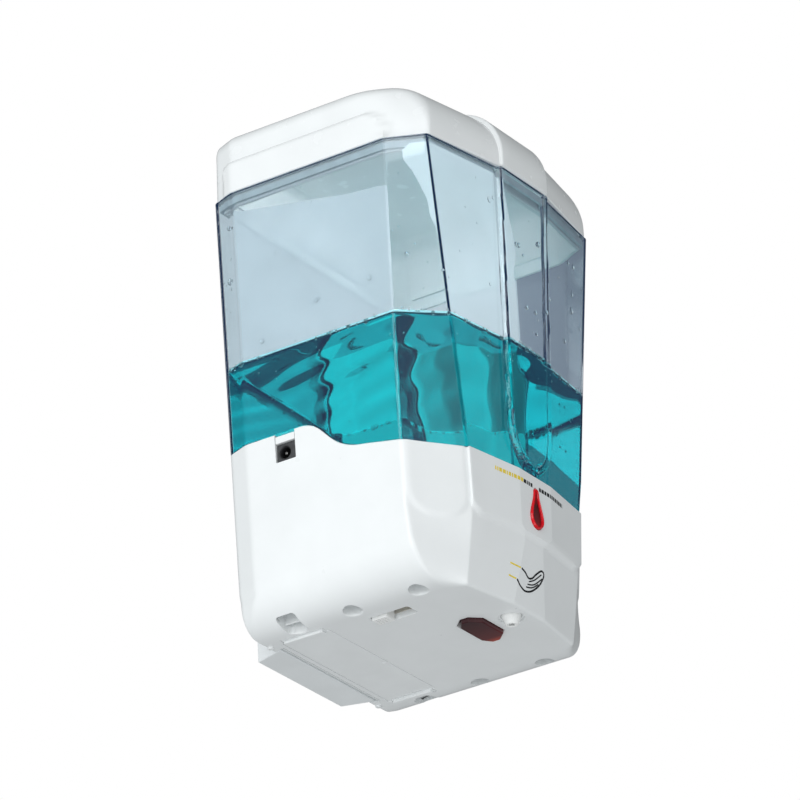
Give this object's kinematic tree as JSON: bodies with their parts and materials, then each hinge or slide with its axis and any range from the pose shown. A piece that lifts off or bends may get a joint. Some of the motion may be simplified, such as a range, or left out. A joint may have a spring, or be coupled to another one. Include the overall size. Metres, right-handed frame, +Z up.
{
  "type": "wall mounted soap dispenser",
  "caption": "Wall mounted automatic soap dispenser: clear tank with teal soap, white lift-off lid and housing with sensor window, nozzle, indicator, battery bay and bracket.",
  "frame": {"origin": "centre of the wall bracket's flat back, on the wall's surface", "axes": "+Z up, +Y into the wall, so the front with the nozzle faces -Y; +X is the dispenser's right side as seen from the front"},
  "size_m": [0.1574, 0.1418, 0.2594],
  "materials": {
    "white_plastic": "satin",
    "clear_plastic": "clear gloss",
    "soap": "clear liquid",
    "seal": "matt",
    "black_plastic": "matt",
    "grey_plastic": "matt",
    "dark_red_plastic": "gloss",
    "red_plastic": "gloss",
    "silicone": "matt",
    "steel": "bright",
    "brass": "satin",
    "gear_plastic": "matt",
    "board": "satin",
    "cell_wrap": "gloss",
    "wire": "matt"
  },
  "bodies": {
    "dispenser": {"housing": "white_plastic", "tank_seat": "white_plastic", "tank": "clear_plastic", "soap": "soap", "jack_insert": "white_plastic", "jack_body": "black_plastic", "jack_pin": "steel", "sensor_window": "dark_red_plastic", "indicator_lens": "red_plastic", "nozzle": "white_plastic", "nozzle_valve": "silicone", "switch_body": "black_plastic", "battery_case": "white_plastic", "battery_1": "cell_wrap", "battery_2": "cell_wrap", "battery_3": "cell_wrap", "battery_4": "cell_wrap", "contact_spring_2": "steel", "contact_spring_4": "steel", "pump_housing": "grey_plastic", "gear_plate": "grey_plastic", "motor": "steel", "pump_tube": "silicone", "screw_left_1": "steel", "screw_left_2": "steel", "screw_left_3": "steel", "screw_right_1": "steel", "screw_right_2": "steel", "screw_right_3": "steel", "control_board": "board", "control_chip": "black_plastic", "capacitor": "black_plastic", "power_inductor": "black_plastic", "sensor_board": "board", "infrared_emitter": "clear_plastic", "infrared_receiver": "black_plastic", "indicator_board": "board", "indicator_diode": "red_plastic", "jack_lead": "wire", "motor_lead": "wire"},
    "bracket": {"wall_bracket": "white_plastic"},
    "lid": {"lid": "white_plastic", "lid_gasket": "seal"},
    "battery_door": {"battery_door": "white_plastic", "door_contact_left": "steel", "door_contact_right": "steel"},
    "switch_slider": {"switch_slider": "white_plastic"},
    "pump_rotor": {"rotor": "gear_plastic", "rotor_shaft": "steel", "drive_gear": "gear_plastic"},
    "pinion": {"motor_pinion": "brass", "motor_shaft": "steel"},
    "roller_1": {"roller_1": "gear_plastic"},
    "roller_2": {"roller_2": "gear_plastic"},
    "roller_3": {"roller_3": "gear_plastic"}
  },
  "joints": [
    {"name": "dispenser_lift", "type": "slide", "parent": "bracket", "child": "dispenser", "axis": [0, 0, 1], "range_m": [0, 0.09]},
    {"name": "lid_lift", "type": "slide", "parent": "dispenser", "child": "lid", "axis": [0, 0, 1], "range_m": [0, 0.05]},
    {"name": "battery_door_pull", "type": "slide", "parent": "dispenser", "child": "battery_door", "axis": [0, 0, -1], "range_m": [0, 0.06]},
    {"name": "switch_slide", "type": "slide", "parent": "dispenser", "child": "switch_slider", "axis": [0, -1, 0], "range_m": [0, 0.009]},
    {"name": "rotor_spin", "type": "hinge", "parent": "dispenser", "child": "pump_rotor", "pos_m": [0.014, -0.077, 0.008], "axis": [0, 0, 1], "continuous": true},
    {"name": "pinion_spin", "type": "hinge", "parent": "dispenser", "child": "pinion", "pos_m": [-0.022, -0.077, 0.008], "axis": [0, 0, 1], "continuous": true},
    {"name": "roller_1_spin", "type": "hinge", "parent": "pump_rotor", "child": "roller_1", "pos_m": [0.014, -0.0674, -0.006], "axis": [0, 0, 1], "continuous": true},
    {"name": "roller_2_spin", "type": "hinge", "parent": "pump_rotor", "child": "roller_2", "pos_m": [0.00569, -0.0818, -0.006], "axis": [0, 0, 1], "continuous": true},
    {"name": "roller_3_spin", "type": "hinge", "parent": "pump_rotor", "child": "roller_3", "pos_m": [0.02231, -0.0818, -0.006], "axis": [0, 0, 1], "continuous": true}
  ],
  "couplings": [
    {"joint": "pinion_spin", "follows": "rotor_spin", "ratio": -3.8},
    {"joint": "roller_1_spin", "follows": "rotor_spin", "ratio": -3.4},
    {"joint": "roller_2_spin", "follows": "rotor_spin", "ratio": -3.4},
    {"joint": "roller_3_spin", "follows": "rotor_spin", "ratio": -3.4}
  ]
}
